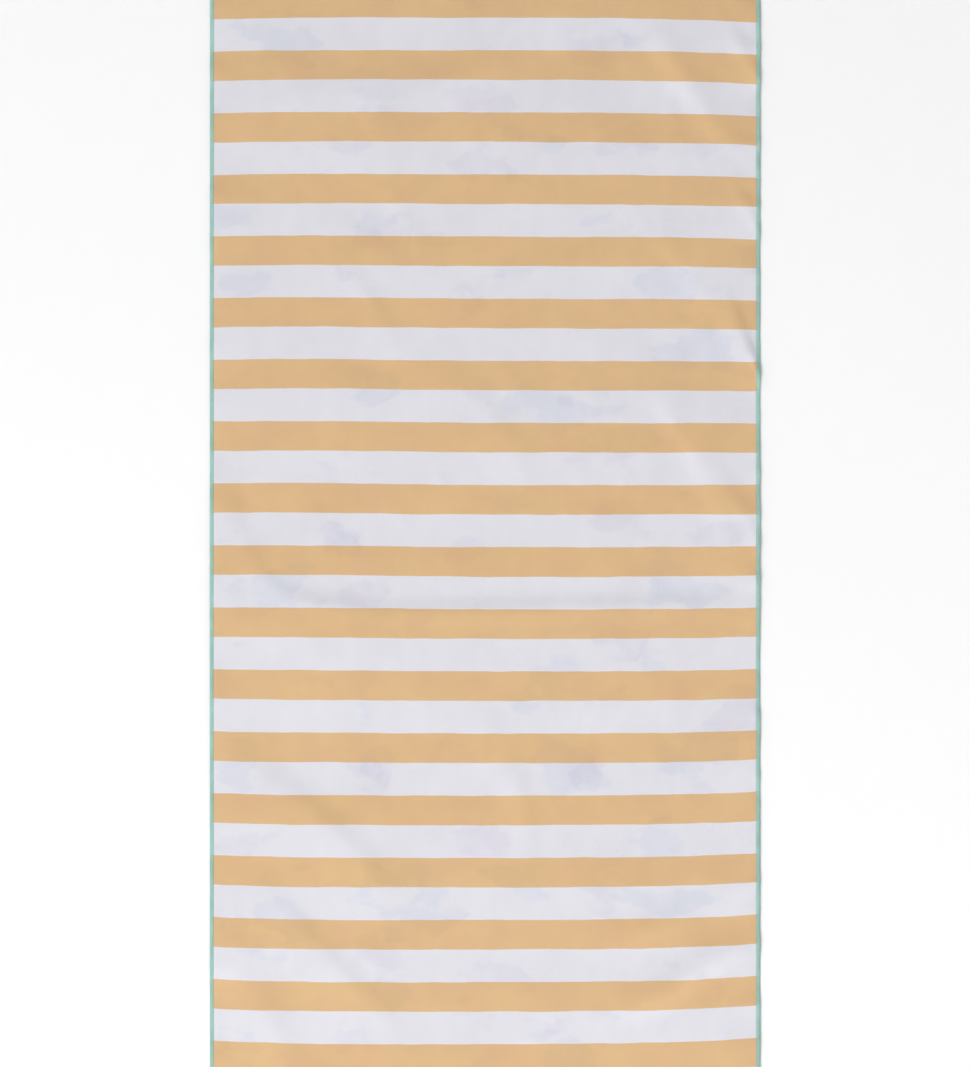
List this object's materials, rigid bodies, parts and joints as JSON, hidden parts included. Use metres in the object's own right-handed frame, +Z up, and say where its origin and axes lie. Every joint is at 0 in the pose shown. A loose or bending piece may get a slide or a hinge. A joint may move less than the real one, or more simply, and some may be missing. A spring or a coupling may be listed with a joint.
{
  "type": "beach towel",
  "caption": "Flat microfibre beach towel with printed cross stripes, overlocked all round, with a small folded care label at the foot end.",
  "frame": {"origin": "centre of the towel's underside, care label not counted, on the surface that the towel lies on", "axes": "+X across the towel, +Y along it towards the head end, which is the end away from the care label, +Z up out of the striped face"},
  "size_m": [0.65, 1.38, 0.001],
  "materials": {
    "printed_cloth": "brushed suede microfibre, printed with sand-orange and white stripes",
    "edge_thread": "mint textured polyester thread",
    "label_ribbon": "white satin ribbon, blank"
  },
  "bodies": {
    "root": {"cloth_panel": "printed_cloth", "left_needle_thread": "edge_thread", "left_upper_looper": "edge_thread", "left_lower_looper": "edge_thread", "right_needle_thread": "edge_thread", "right_upper_looper": "edge_thread", "right_lower_looper": "edge_thread", "head_needle_thread": "edge_thread", "head_upper_looper": "edge_thread", "head_lower_looper": "edge_thread", "foot_needle_thread": "edge_thread", "foot_upper_looper": "edge_thread", "foot_lower_looper": "edge_thread", "care_label": "label_ribbon"}
  },
  "joints": []
}
